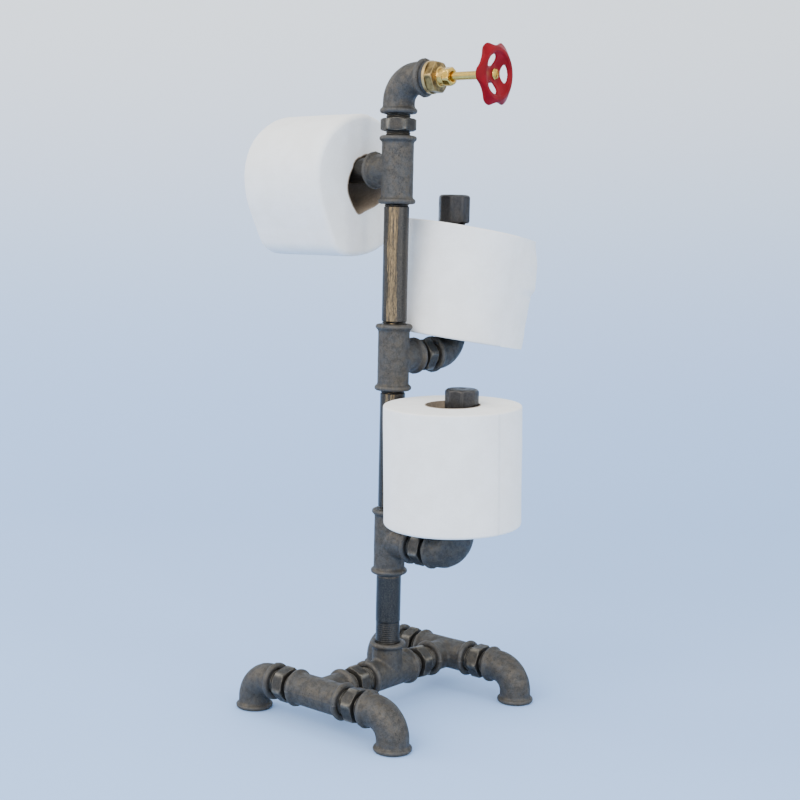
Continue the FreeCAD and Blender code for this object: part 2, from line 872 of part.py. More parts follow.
def yaw(degrees):
    return axis_turn(0, 0, 1, degrees)


def place(part, x, y, z, rotation=NO_TURN):
    """Puts a sub-part's own origin at three expressions, turned by a rotation."""
    part.Placement = FreeCAD.Placement(FreeCAD.Vector(0, 0, 0), rotation)
    for axis, value in (("x", x), ("y", y), ("z", z)):
        part.setExpression(f"Placement.Base.{axis}", s(value))
    return part


BASE_Z = "@fitting_reach"
LEG_X = "(2 * @fitting_reach + @leg_gap)"
BAR_Y = "(2 * @fitting_reach + @bar_gap)"
ARM_OUT = "(2 * @fitting_reach + @arm_gap)"
VALVE_Z = "(@upper_tee_z + 2 * @fitting_reach + @top_gap)"


def build_base():
    """Two legs joined by a bar, each leg a tee with an elbow turned down at each end."""
    for end, side in (("front", -1), ("rear", 1)):
        flip = NO_TURN if side < 0 else axis_turn(1, 0, 0, 180)
        place(make_tee(f"{end}_leg_tee"), "0", f"{side} * {BAR_Y}", BASE_Z, flip * Z_TO_X)
        nipple = make_nipple(f"{end}_bar_nipple", "@bar_gap")
        place(nipple, "0", f"{side} * {BAR_Y} / 2", BASE_Z, Z_TO_Y * yaw(side * size("bar_hex_turn")))
        for hand, way in (("left", -1), ("right", 1)):
            nipple = make_nipple(f"{end}_{hand}_leg_nipple", "@leg_gap")
            turn = yaw(size(f"{end}_{hand}_hex_turn"))
            place(nipple, f"{way} * {LEG_X} / 2", f"{side} * {BAR_Y}", BASE_Z, Z_TO_X * turn)
            down = axis_turn(1, 0, 0, 180) if way < 0 else axis_turn(0, 1, 0, 180)
            elbow = make_elbow(f"{end}_{hand}_foot_elbow")
            place(elbow, f"{way} * {LEG_X}", f"{side} * {BAR_Y}", BASE_Z, down)
    place(make_tee("base_tee"), "0", "0", BASE_Z, Z_TO_Y)


def build_post():
    """Three lengths of pipe and three tees, one above the other."""
    pipe = make_pipe("lower_post_pipe", "@lower_tee_z - 3 * @fitting_reach", "@long_thread")
    place(pipe, "0", "0", "2 * @fitting_reach")
    for name, below, above in (("middle", "lower", "middle"), ("upper", "middle", "upper")):
        exposed = f"@{above}_tee_z - @{below}_tee_z - 2 * @fitting_reach"
        pipe = make_pipe(f"{name}_post_pipe", exposed)
        place(pipe, "0", "0", f"@{below}_tee_z + @fitting_reach")
    for name in ("lower", "middle", "upper"):
        tee = make_tee(f"{name}_post_tee")
        place(tee, "0", "0", f"@{name}_tee_z", yaw(size(f"{name}_arm_turn")))


def build_upright_arm(name):
    """Nipple, elbow turned up, roll post and cap."""
    turn = size(f"{name}_arm_turn")
    cos, sin = f"cos(@{name}_arm_turn)", f"sin(@{name}_arm_turn)"
    height = f"@{name}_tee_z"
    nipple = make_nipple(f"{name}_arm_nipple", "@arm_gap")
    place(
        nipple,
        f"{ARM_OUT} / 2 * {cos}",
        f"{ARM_OUT} / 2 * {sin}",
        height,
        yaw(turn) * Z_TO_X * yaw(size(f"{name}_arm_hex_turn")),
    )
    at = (f"{ARM_OUT} * {cos}", f"{ARM_OUT} * {sin}")
    place(make_elbow(f"{name}_arm_elbow"), at[0], at[1], height, yaw(turn + 180))
    pipe = make_pipe(f"{name}_roll_post", "@post_length")
    place(pipe, at[0], at[1], f"{height} + @fitting_reach")
    cap = make_cap(f"{name}_post_cap")
    cap_turn = yaw(size(f"{name}_cap_turn"))
    place(cap, at[0], at[1], f"{height} + @fitting_reach + @post_length", cap_turn)


def build_level_arm():
    """The upper arm: a pipe straight out of the tee, with a cap on its end."""
    rotation = yaw(size("upper_arm_turn")) * Z_TO_X
    cos, sin = "cos(@upper_arm_turn)", "sin(@upper_arm_turn)"
    for part, out in (
        (make_pipe("upper_arm_pipe", "@upper_arm_length"), "@fitting_reach"),
        (make_cap("upper_arm_cap"), "(@fitting_reach + @upper_arm_length)"),
    ):
        place(part, f"{out} * {cos}", f"{out} * {sin}", "@upper_tee_z", rotation)


def build_valve():
    """Elbow on the top nipple, with a stop-tap's headwork and handwheel in its outlet."""
    nipple = make_nipple("top_nipple", "@top_gap")
    place(nipple, "0", "0", "@upper_tee_z + @fitting_reach + @top_gap / 2", yaw(size("top_hex_turn")))
    turn = size("valve_turn")
    elbow = make_elbow("valve_elbow")
    place(elbow, "0", "0", VALVE_Z, yaw(turn) * axis_turn(1, 0, 0, 180))
    along = yaw(turn) * Z_TO_X
    bonnet_turn = yaw(size("bonnet_hex_turn"))
    place(
        ring("bonnet_washer", "@thread_od / 2 + @loose_gap", "@washer_od / 2", FACE, FLANGE),
        "0", "0", VALVE_Z, along,
    )
    place(make_bonnet("bonnet"), "0", "0", VALVE_Z, along * bonnet_turn)
    place(
        ring(
            "gland_packing",
            "@spindle_od / 2 + @running_gap",
            "@gland_cavity / 2",
            PACKING_START,
            f"{PACKING_START} + @packing_thick",
        ),
        "0", "0", VALVE_Z, along,
    )
    place(make_gland_nut("gland_nut"), "0", "0", VALVE_Z, along * yaw(size("gland_hex_turn")))
    place(make_spindle("spindle"), "0", "0", VALVE_Z, along)
    place(make_jumper("jumper_valve"), "0", "0", VALVE_Z, along)
    back = f"{SCREW_START} - @roll_clearance - @jumper_thick"
    place(
        ring(
            "jumper_washer",
            "@jumper_pin_od / 2",
            "@jumper_washer_od / 2",
            f"{back} - @jumper_washer",
            back,
        ),
        "0", "0", VALVE_Z, along,
    )
    place(make_handwheel("handwheel"), "0", "0", VALVE_Z, along * yaw(size("wheel_rest_turn")))
    place(make_wheel_screw("handwheel_screw"), "0", "0", VALVE_Z, along * yaw(size("screw_slot_turn")))


def build_rolls():
    """Paper and cardboard core of each roll. Each roll hangs loose on its post, so it sits
    off the post's axis, and the middle one leans outwards over its elbow."""
    drop = "(@core_bore / 2 - @pipe_od / 2 - @roll_clearance)"
    upper_turn = size("upper_arm_turn")
    spots = {
        "lower": (
            "@lower_roll_x",
            "@lower_roll_y",
            "@lower_tee_z + @fitting_reach + @lower_roll_rise",
            axis_turn(1, 0, 0, size("lower_roll_lean")),
        ),
        "middle": (
            "@middle_roll_x",
            "@middle_roll_y",
            "@middle_tee_z + @middle_roll_rise",
            lean(size("middle_roll_lean_x"), size("middle_roll_lean_y")),
        ),
        "upper": (
            "@upper_roll_start * cos(@upper_arm_turn)",
            "@upper_roll_start * sin(@upper_arm_turn)",
            f"@upper_tee_z - {drop}",
            yaw(upper_turn) * Z_TO_X,
        ),
    }
    for name, (x, y, z, rotation) in spots.items():
        place(make_roll(f"{name}_roll_paper"), x, y, z, rotation)
        core = ring(f"{name}_roll_core", "@core_bore / 2", "@core_od / 2", "0", "@roll_width")
        place(core, x, y, z, rotation)


def lean(towards_x, towards_y):
    """The rotation that leans +Z towards +X and +Y by two angles."""
    up = FreeCAD.Vector(
        math.tan(math.radians(towards_x)), math.tan(math.radians(towards_y)), 1
    )
    return FreeCAD.Rotation(FreeCAD.Vector(0, 0, 1), up)


build_base()
build_post()
build_upright_arm("lower")
build_upright_arm("middle")
build_level_arm()
build_valve()
build_rolls()
doc.recompute()

# ---------------------------------------------------------------- checks and export
for thing in doc.Objects:
    bad = [state for state in thing.State if state in ("Invalid", "Error")]
    if bad:
        raise RuntimeError(f"{thing.Name} is {bad}")

nodes = [thing for thing in doc.Objects if thing.TypeId == "PartDesign::Body"]
for node in nodes:
    shape = node.Shape
    if shape.isNull() or not shape.isValid() or len(shape.Solids) != 1:
        raise RuntimeError(f"{node.Label} has no single valid solid")
    shape.exportStep(f"parts/{node.Label}.step")
print(len(nodes), "sub-parts written")
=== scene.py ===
import json
import math

import bmesh
import bpy
import numpy as np
from mathutils import Matrix, Vector, noise


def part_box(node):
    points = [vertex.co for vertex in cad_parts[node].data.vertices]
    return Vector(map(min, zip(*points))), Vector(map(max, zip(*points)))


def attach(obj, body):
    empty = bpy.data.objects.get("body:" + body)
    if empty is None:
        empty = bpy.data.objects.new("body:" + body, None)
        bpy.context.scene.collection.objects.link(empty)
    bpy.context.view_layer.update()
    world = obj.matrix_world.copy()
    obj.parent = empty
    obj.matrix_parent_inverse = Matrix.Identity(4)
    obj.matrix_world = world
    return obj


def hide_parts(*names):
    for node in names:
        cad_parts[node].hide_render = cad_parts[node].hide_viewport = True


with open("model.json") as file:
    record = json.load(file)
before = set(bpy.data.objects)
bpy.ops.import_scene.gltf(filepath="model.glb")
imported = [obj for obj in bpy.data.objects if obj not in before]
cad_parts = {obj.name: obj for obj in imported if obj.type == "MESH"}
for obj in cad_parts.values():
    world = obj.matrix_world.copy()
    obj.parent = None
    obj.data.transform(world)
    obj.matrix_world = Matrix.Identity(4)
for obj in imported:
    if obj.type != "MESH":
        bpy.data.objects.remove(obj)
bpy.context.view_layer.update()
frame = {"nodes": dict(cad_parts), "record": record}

# Free-standing toilet paper holder of half-inch pipe fittings. Everything is in metres, in the
# part's own frame: origin on the floor under the post, +Z up.
MM = 0.001
DEG = math.pi / 180
UP = Vector((0, 0, 1))
VALVE_HEIGHT = 534.7 * MM
VALVE_TURN = 3.5


def level(degrees):
    """The level direction at an angle from +X."""
    return Vector((math.cos(degrees * DEG), math.sin(degrees * DEG), 0))


# ------------------------------------------------------------------------- camera and light
CAMERA_PLACE = Vector((0.7831, -0.9307, 0.4127))
CAMERA_YAW, CAMERA_PITCH, CAMERA_ROLL = 39.78 * DEG, -6.83 * DEG, 1.253 * DEG
CAMERA_LENS = 64.8


def make_camera():
    look = Vector((
        -math.sin(CAMERA_YAW) * math.cos(CAMERA_PITCH),
        math.cos(CAMERA_YAW) * math.cos(CAMERA_PITCH),
        math.sin(CAMERA_PITCH),
    ))
    sideways = Vector((math.cos(CAMERA_YAW), math.sin(CAMERA_YAW), 0))
    upright = sideways.cross(look)
    right = sideways * math.cos(CAMERA_ROLL) + upright * math.sin(CAMERA_ROLL)
    top = upright * math.cos(CAMERA_ROLL) - sideways * math.sin(CAMERA_ROLL)
    camera = bpy.data.objects.new("camera", bpy.data.cameras.new("camera"))
    camera.data.lens = CAMERA_LENS
    camera.data.sensor_width = 36
    camera.data.clip_start = 0.01
    camera.matrix_world = Matrix.Translation(CAMERA_PLACE) @ Matrix((right, top, -look)).transposed().to_4x4()
    bpy.context.collection.objects.link(camera)
    bpy.context.scene.camera = camera


def area_light(name, place, target, width, height, watts, colour):
    light = bpy.data.lights.new(name, "AREA")
    light.shape = "RECTANGLE"
    light.size, light.size_y = width, height
    light.energy, light.color = watts, colour
    lamp = bpy.data.objects.new(name, light)
    lamp.location = place
    lamp.rotation_euler = (Vector(target) - Vector(place)).to_track_quat("-Z", "Y").to_euler()
    bpy.context.collection.objects.link(lamp)


def make_light():
    world = bpy.data.worlds.new("studio")
    bpy.context.scene.world = world
    world.use_nodes = True
    world.node_tree.nodes["Background"].inputs["Color"].default_value = (0.91, 0.955, 1.0, 1)
    world.node_tree.nodes["Background"].inputs["Strength"].default_value = 1.62
    middle = (0, 0, 0.28)
    area_light("key", (0.3, -2.1, 1.5), middle, 1.8, 1.6, 56, (1.0, 0.97, 0.92))
    area_light("fill", (1.9, 0.1, 0.9), middle, 0.4, 1.4, 12, (0.92, 0.97, 1.0))
    area_light("strip", (1.85, -0.74, 0.75), middle, 0.10, 1.5, 8, (1.0, 1.0, 1.0))
    area_light("left", (-1.6, -1.0, 1.1), middle, 0.9, 1.5, 17, (1.0, 0.95, 0.88))


# ------------------------------------------------------------------------- shader helpers
def node(tree, kind, inputs=None, **settings):
    made = tree.nodes.new("ShaderNode" + kind)
    for name, value in settings.items():
        setattr(made, name, value)
    for name, value in (inputs or {}).items():
        if isinstance(value, bpy.types.NodeSocket):
            tree.links.new(value, made.inputs[name])
        else:
            made.inputs[name].default_value = value
    return made


def rgba(colour):
    return (*colour, 1)


def mixed(tree, factor, low, high):
    low = low if isinstance(low, bpy.types.NodeSocket) else rgba(low)
    high = high if isinstance(high, bpy.types.NodeSocket) else rgba(high)
    made = node(tree, "Mix", {0: factor, 6: low, 7: high}, data_type="RGBA")
    return made.outputs[2]


def spread(tree, value, low, high, start=0.0, end=1.0):
    inputs = {"Value": value, "From Min": low, "From Max": high, "To Min": start, "To Max": end}
    return node(tree, "MapRange", inputs, interpolation_type="SMOOTHSTEP").outputs["Result"]


def maths(tree, operation, first, second=0.0):
    return node(tree, "Math", {0: first, 1: second}, operation=operation).outputs[0]


def scaled(tree, place, factors):
    return node(tree, "VectorMath", {0: place, 1: factors}, operation="MULTIPLY").outputs[0]


def cloud(tree, place, scale, detail=3.0, rough=0.55):
    inputs = {"Vector": place, "Scale": scale, "Detail": detail, "Roughness": rough}
    return node(tree, "TexNoise", inputs).outputs["Fac"]


def new_look(name, metallic, **fixed):
    """A material with its shader, and the object coordinates that its textures use."""
    look = bpy.data.materials.new(name)
    look.use_nodes = True
    tree = look.node_tree
    shader = tree.nodes["Principled BSDF"]
    shader.inputs["Metallic"].default_value = metallic
    for socket, value in fixed.items():
        shader.inputs[socket.replace("_", " ")].default_value = value
    place = node(tree, "TexCoord").outputs["Object"]
    return look, tree, shader, place


def join(tree, shader, colour, rough, height, strength, distance):
    tree.links.new(colour, shader.inputs["Base Color"])
    tree.links.new(rough, shader.inputs["Roughness"])
    bump = node(tree, "Bump", {"Height": height, "Strength": strength, "Distance": distance})
    tree.links.new(bump.outputs["Normal"], shader.inputs["Normal"])


def cast_iron(name, cool, warm, worn, rough):
    """Oiled malleable iron: cool and brownish patches, fine grain, dark pits, worn ridges, and painted shade
    that darkens its hollows and creases.
    """
    look, tree, shader, place = new_look(name, 0.6)
    patches = spread(tree, cloud(tree, place, 120, 5, 0.70), 0.38, 0.62)
    broad = spread(tree, cloud(tree, place, 210, 4, 0.65), 0.36, 0.66)
    grain = cloud(tree, place, 1500, 2, 0.6)
    pit = node(tree, "TexVoronoi", {"Vector": place, "Scale": 330.0, "Randomness": 1.0})
    pits = spread(tree, pit.outputs["Distance"], 0.10, 0.26, 1.0, 0.0)
    pits = maths(tree, "MULTIPLY", pits, spread(tree, cloud(tree, place, 120, 2), 0.52, 0.62))
    ridge = node(tree, "NewGeometry").outputs["Pointiness"]
    patchy = spread(tree, broad, 0.0, 0.8, 0.35, 1.0)
    wear = maths(tree, "MULTIPLY", spread(tree, ridge, 0.515, 0.575), patchy)
    # Painted shade: hollows and creases (low pointiness) are darkened where shade falls.
    crease_shade = spread(tree, ridge, 0.42, 0.485, 1.0, 0.0)
    colour = mixed(tree, patches, cool, warm)
    shaded = tuple(0.62 * share for share in cool)
    colour = mixed(tree, spread(tree, broad, 0.2, 1.0, 0.0, 0.55), colour, shaded)
    colour = mixed(tree, spread(tree, grain, 0.42, 0.60, 0.0, 0.18), colour, worn)
    colour = mixed(tree, wear, colour, worn)
    colour = mixed(tree, spread(tree, crease_shade, 0.0, 1.0, 0.0, 0.7), colour, (0.012, 0.011, 0.010))
    colour = mixed(tree, spread(tree, pits, 0.0, 1.0, 0.0, 0.75), colour, (0.012, 0.010, 0.009))
    rough_map = spread(tree, broad, 0.0, 1.0, rough - 0.05, rough + 0.12)
    rough_map = maths(tree, "SUBTRACT", rough_map, spread(tree, wear, 0.0, 1.0, 0.0, 0.10))
    height = maths(tree, "SUBTRACT", maths(tree, "MULTIPLY", grain, 0.5), pits)
    join(tree, shader, colour, rough_map, height, 0.30, 0.0003)
    return look


# The side, in degrees from +X, that is turned towards the camera and carries the painted reflection streaks.
REFLECTION_SIDE = -66


def black_pipe(name, reflection_share, reflection_tint):
    """Black steel pipe with bright streaks along its length, painted on the side that faces the camera: a
    painted reflection.
    """
    look, tree, shader, place = new_look(name, 0.9)
    lines = cloud(tree, scaled(tree, place, (760, 760, 34)), 1.0, 6, 0.78)
    fine = cloud(tree, scaled(tree, place, (2400, 2400, 260)), 1.0, 3, 0.7)
    patch = cloud(tree, scaled(tree, place, (30, 30, 9)), 1.0, 3, 0.6)
    speck = cloud(tree, place, 1300, 2, 0.6)
    normal = node(tree, "NewGeometry").outputs["Normal"]
    # Painted reflection: the bright streaks are kept to the side turned towards the camera.
    facing = node(tree, "VectorMath", {0: normal, 1: level(REFLECTION_SIDE)}, operation="DOT_PRODUCT")
    facing = facing.outputs["Value"]
    side = spread(tree, facing, 0.72, 0.97, 0.10, 1.0)
    painted_reflection = spread(tree, maths(tree, "MULTIPLY", lines, side), 0.41, 0.55)
    painted_reflection = maths(tree, "MULTIPLY", painted_reflection, spread(tree, fine, 0.38, 0.60, 0.15, 1.0))
    painted_reflection = maths(tree, "MULTIPLY", painted_reflection, reflection_share)
    colour = mixed(tree, spread(tree, patch, 0.35, 0.65), (0.025, 0.025, 0.026), (0.040, 0.035, 0.030))
    colour = mixed(tree, spread(tree, speck, 0.45, 0.62, 0.0, 0.20), colour, (0.16, 0.14, 0.11))
    colour = mixed(tree, painted_reflection, colour, reflection_tint)
    rough_map = spread(tree, painted_reflection, 0.0, 1.0, 0.36, 0.30)
    height = maths(tree, "ADD", maths(tree, "MULTIPLY", fine, 0.6), maths(tree, "MULTIPLY", speck, 0.3))
    join(tree, shader, colour, rough_map, height, 0.25, 0.0002)
    return look


def brass(name, bright, dull, rough, machined=0.0):
    """Brass: as cast, or turned bright within a distance of the headwork's axis."""
    look, tree, shader, place = new_look(name, 1.0)
    patches = cloud(tree, place, 190, 4, 0.65)
    fine = cloud(tree, place, 1700, 2, 0.6)
    colour = mixed(tree, spread(tree, patches, 0.38, 0.62), bright, dull)
    ridge = node(tree, "NewGeometry").outputs["Pointiness"]
    # Painted shade darkens the hollows, and a painted highlight lightens the edges.
    colour = mixed(tree, spread(tree, ridge, 0.40, 0.48, 0.6, 0.0), colour, (0.10, 0.06, 0.02))
    colour = mixed(tree, spread(tree, ridge, 0.52, 0.58, 0.0, 0.7), colour, (0.60, 0.42, 0.18))
    rough_map = spread(tree, patches, 0.3, 0.7, rough - 0.06, rough + 0.08)
    if machined:
        off = node(tree, "VectorMath", {0: place, 1: UP * VALVE_HEIGHT}, operation="SUBTRACT").outputs[0]
        off = node(tree, "VectorMath", {0: off, 1: level(VALVE_TURN)}, operation="CROSS_PRODUCT").outputs[0]
        off = node(tree, "VectorMath", {0: off}, operation="LENGTH").outputs["Value"]
        turned = spread(tree, off, machined, machined + 0.8 * MM, 1.0, 0.0)
        colour = mixed(tree, turned, colour, (0.62, 0.39, 0.10))
        rough_map = maths(tree, "SUBTRACT", rough_map, maths(tree, "MULTIPLY", turned, 0.20))
    join(tree, shader, colour, rough_map, fine, 0.35 if machined else 0.12, 0.0002)
    return look


def red_enamel():
    look, tree, shader, place = new_look("red_enamel", 0.0, Specular_IOR_Level=0.1)
    patches = cloud(tree, place, 90, 3)
    speck = cloud(tree, place, 420, 3, 0.65)
    colour = mixed(tree, spread(tree, patches, 0.35, 0.65), (0.20, 0.0004, 0.006), (0.15, 0.0004, 0.004))
    ridge = node(tree, "NewGeometry").outputs["Pointiness"]
    # Painted shade: the hollows of the wheel are darkened.
    colour = mixed(tree, spread(tree, ridge, 0.40, 0.48, 0.55, 0.0), colour, (0.09, 0.002, 0.004))
    rough_map = spread(tree, patches, 0.3, 0.7, 0.34, 0.46)
    join(tree, shader, colour, rough_map, speck, 0.22, 0.0006)
    return look


def tissue(name):
    """Soft white tissue: faint fibres and a fine emboss."""
    look, tree, shader, place = new_look(name, 0.0, Sheen_Weight=0.15, Specular_IOR_Level=0.15)
    mottle = cloud(tree, place, 60, 4, 0.6)
    fibre = cloud(tree, place, 900, 3, 0.7)
    dots = node(tree, "TexVoronoi", {"Vector": place, "Scale": 330.0, "Randomness": 0.35})
    colour = mixed(tree, spread(tree, mottle, 0.35, 0.65), (0.79, 0.775, 0.745), (0.83, 0.82, 0.80))
    colour = mixed(tree, spread(tree, fibre, 0.40, 0.62, 0.0, 0.25), colour, (0.72, 0.72, 0.70))
    rough_map = spread(tree, fibre, 0.3, 0.7, 0.85, 0.97)
    height = maths(tree, "ADD", fibre, maths(tree, "MULTIPLY", dots.outputs["Distance"], 0.8))
    join(tree, shader, colour, rough_map, height, 0.35, 0.0004)
    return look


def board():
    look, tree, shader, place = new_look("core_board", 0.0, Specular_IOR_Level=0.2)
    fibre = cloud(tree, scaled(tree, place, (500, 500, 500)), 1.0, 4, 0.7)
    patch = cloud(tree, place, 55, 3)
    colour = mixed(tree, spread(tree, patch, 0.35, 0.65), (0.27, 0.21, 0.155), (0.21, 0.165, 0.125))
    colour = mixed(tree, spread(tree, fibre, 0.42, 0.65, 0.0, 0.4), colour, (0.36, 0.30, 0.23))
    join(tree, shader, colour, spread(tree, fibre, 0.3, 0.7, 0.75, 0.95), fibre, 0.4, 0.0003)
    return look


def seal(name, dark, light, scale):
    look, tree, shader, place = new_look(name, 0.0)
    fine = cloud(tree, place, scale, 3, 0.6)
    colour = mixed(tree, spread(tree, fine, 0.35, 0.65), dark, light)
    join(tree, shader, colour, spread(tree, fine, 0.3, 0.7, 0.5, 0.75), fine, 0.3, 0.0002)
    return look


# each iron: its cool and warm patches, its worn ridges and its roughness
IRONS = {
    "fitting_iron": ((0.047, 0.046, 0.045), (0.060, 0.050, 0.038), (0.17, 0.155, 0.135), 0.60),
    "nipple_iron": ((0.019, 0.018, 0.017), (0.028, 0.023, 0.018), (0.14, 0.125, 0.10), 0.50),
    "cap_iron": ((0.017, 0.016, 0.018), (0.020, 0.017, 0.015), (0.09, 0.085, 0.08), 0.40),
}
LOOKS = {
    **{name: cast_iron(name, *tones) for name, tones in IRONS.items()},
    "pipe_steel": black_pipe("pipe_steel", 1.0, (0.32, 0.215, 0.105)),
    "lower_pipe_steel": black_pipe("lower_pipe_steel", 0.15, (0.16, 0.14, 0.11)),
    "rough_brass": brass("rough_brass", (0.28, 0.185, 0.065), (0.12, 0.082, 0.034), 0.40, 7.8 * MM),
    "bright_brass": brass("bright_brass", (0.68, 0.44, 0.09), (0.52, 0.32, 0.06), 0.18),
    "red_paint": red_enamel(),
    "tissue_paper": tissue("tissue_paper"),
    "core_board": board(),
    "seal_rubber": seal("seal_rubber", (0.015, 0.015, 0.016), (0.03, 0.03, 0.03), 500),
    "packing_fibre": seal("packing_fibre", (0.45, 0.40, 0.30), (0.60, 0.54, 0.42), 900),
}
SLOT_OF = {part["node"]: part["material_slot"] for part in frame["record"]["subparts"]}
BODY_OF = {n: body for body, nodes in frame["record"]["behaviour"]["bodies"].items() for n in nodes}


# ------------------------------------------------------------------------- mesh helpers
def finished(name, mesh, node_name, look=None, sharp=None):
    """Makes a piece of a mesh that stands for a node, riding on the node's body. look names a
    material other than the node's slot; sharp is the angle from which an edge stays crisp."""
    piece = bpy.data.objects.new(name, mesh)
    bpy.context.collection.objects.link(piece)
    mesh.materials.clear()
    mesh.materials.append(LOOKS[look or SLOT_OF[node_name]])
    for polygon in mesh.polygons:
        polygon.use_smooth = True
    if sharp:
        mesh.set_sharp_from_angle(angle=sharp * DEG)
    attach(piece, BODY_OF[node_name])
    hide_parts(node_name)


def turned_mesh(name, rows, angles, place, close=True):
    """A closed surface about local Z. Each row is a height and a function from angle to radius
    (or a plain radius); place moves it into the frame."""
    points = []
    for height, radius in rows:
        for angle in angles:
            size = radius(angle, height) if callable(radius) else radius
            points.append((size * math.cos(angle), size * math.sin(angle), height))
    across, faces = len(angles), []
    for row in range(len(rows) - 1):
        for i in range(across):
            j = (i + 1) % across
            low, high = row * across, (row + 1) * across
            faces.append((low + i, low + j, high + j, high + i))
    if close:
        faces.append(tuple(range(across))[::-1])
        faces.append(tuple((len(rows) - 1) * across + i for i in range(across)))
    mesh = bpy.data.meshes.new(name)
    mesh.from_pydata(points, [], faces)
    mesh.transform(place)
    mesh.validate()
    return mesh


def even_angles(count):
    return [2 * math.pi * i / count for i in range(count)]


def corner_angles(sides):
    """Angles round a polygonal bar, close together at its corners, which start at zero."""
    half = 180 / sides
    steps = [-1, -0.94, -0.86, -0.72, -0.5, -0.25, 0, 0.25, 0.5, 0.72, 0.86, 0.94]
    return [(360 / sides * i + half + half * step) * DEG for i in range(sides) for step in steps]


def polygon_radius(flats, sides, rounding):
    """The radius function of a regular polygon with its corners rounded off."""
    apothem, half = flats / 2, math.pi / sides
    corner = apothem / math.cos(half) - rounding

    def radius(angle, _height=0.0):
        off = (angle % (2 * half)) - half
        flat = apothem / math.cos(off)
        return min(flat, corner)

    return radius


def thread(radius, pitch, depth):
    """The radius function of a pipe thread with rounded crests."""
    def at(angle, height):
        phase = (height / pitch - angle / (2 * math.pi)) % 1.0
        return radius - depth * (0.5 - 0.5 * math.cos(2 * math.pi * phase)) ** 0.7
    return at


def limited(function, limit):
    return lambda angle, height: min(function(angle, height), limit)


# ------------------------------------------------------------------------- threaded pieces
PITCH = 1.814 * MM
THREAD_RADIUS = 10.45 * MM
THREAD_DEPTH = 0.75 * MM
THREAD_SAMPLES = 7
SOCKET_REACH = 3.0 * MM
PIPE_RADIUS = 10.65 * MM
DRAWN_STEP = 4 * MM
HEX_FLATS, HEX_HALF = 26.7 * MM, 5.15 * MM
HEX_UNDERCUT = 0.5 * MM
CAP_FLATS, CAP_HEIGHT = 26.2 * MM, 24.8 * MM
FITTING_REACH = 28.3 * MM
CRISP, SOFT_CRISP = 38, 50
WELD = 1e-6

Z_TO_X = Matrix.Rotation(120 * DEG, 4, Vector((1, 1, 1)))
Z_TO_Y = Matrix.Rotation(240 * DEG, 4, Vector((1, 1, 1)))


def yaw(degrees):
    return Matrix.Rotation(degrees * DEG, 4, "Z")


def middle_of(node_name):
    low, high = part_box(node_name)
    return (Vector(low) + Vector(high)) / 2


def hex_nipple(node_name, gap, turn):
    """Hexagon with bevelled ends and a cut thread out of each side, as far as it shows."""
    outline = polygon_radius(HEX_FLATS, 6, 0.35 * MM)
    cut = thread(THREAD_RADIUS, PITCH, THREAD_DEPTH)
    core = THREAD_RADIUS - THREAD_DEPTH
    start, end = HEX_HALF + HEX_UNDERCUT, gap / 2 + SOCKET_REACH
    rows = []
    steps = int((end - start) / (PITCH / THREAD_SAMPLES))
    for i in range(steps):
        rows.append((start + (end - start) * (1 - i / steps), cut))
    rows.append((HEX_HALF + 0.35 * MM, core))
    rows.append((HEX_HALF, core + 0.1 * MM))
    for drop, proud in ((0.0, -0.5), (0.12, 0.1), (0.55, 0.9), (1.1, 1.9)):
        rows.append((HEX_HALF - drop * MM, limited(outline, HEX_FLATS / 2 + proud * MM)))
    rows = rows + [(-height, radius) for height, radius in reversed(rows)]
    rows.reverse()
    place = Matrix.Translation(middle_of(node_name)) @ turn
    mesh = turned_mesh(f"{node_name}_skin", rows, corner_angles(6), place)
    finished(f"{node_name}_skin", mesh, node_name, sharp=CRISP)


def threaded_pipe(node_name, place, exposed, low_thread, high_thread, look=None, faint=1.0):
    """Pipe with the turns of its threads that stand out of the fittings, and a slightly
    uneven drawn surface between them."""
    fade = 0.5 * MM
    cut = thread(THREAD_RADIUS, PITCH, THREAD_DEPTH * faint)

    def drawn(angle, height):
        spot = Vector((math.cos(angle) * 2.2, math.sin(angle) * 2.2, height / (14 * MM)))
        return PIPE_RADIUS + 0.07 * MM * noise.noise(spot)

    rows = []

    def threaded(start, end):
        count = max(2, int((end - start) / (PITCH / THREAD_SAMPLES)))
        for i in range(count + 1):
            rows.append((start + (end - start) * i / count, cut))

    threaded(-SOCKET_REACH, low_thread)
    rows.append((low_thread + fade, PIPE_RADIUS))
    count = max(4, int(exposed / DRAWN_STEP))
    for i in range(count + 1):
        share = i / count
        height = low_thread + 2 * fade + (exposed - high_thread - low_thread - 4 * fade) * share
        rows.append((height, drawn))
    rows.append((exposed - high_thread - fade, PIPE_RADIUS))
    threaded(exposed - high_thread, exposed + SOCKET_REACH)
    mesh = turned_mesh(f"{node_name}_skin", rows, even_angles(56), place)
    finished(f"{node_name}_skin", mesh, node_name, look, sharp=CRISP)


def octagon_cap(node_name, place):
    """Octagonal cap: softly bevelled closed end, corners knocked off at the open end."""
    outline = polygon_radius(CAP_FLATS, 8, 0.28 * MM)
    corner = CAP_FLATS / 2 / math.cos(math.pi / 8)
    tip = CAP_HEIGHT / MM
    profile = [
        (14.0, 0.0), (14.0, 10.5), (0.9, 10.55), (0.0, 11.3), (0.0, 12.2), (0.25, 12.75), (0.9, 13.35),
        (1.7, 14.2), (tip - 2.9, 14.2), (tip - 1.9, 13.75), (tip - 1.1, 13.1), (tip - 0.5, 12.3),
        (tip - 0.12, 11.3), (tip, 10.0), (tip, 3.2), (tip - 0.25, 2.2), (tip - 0.25, 0.4),
    ]
    rows = []
    for station, limit in profile:
        rows.append((station * MM, limited(outline, min(limit * MM, corner))))
    mesh = turned_mesh(f"{node_name}_skin", rows, corner_angles(8), place, close=False)
    finished(f"{node_name}_skin", mesh, node_name, sharp=CRISP)


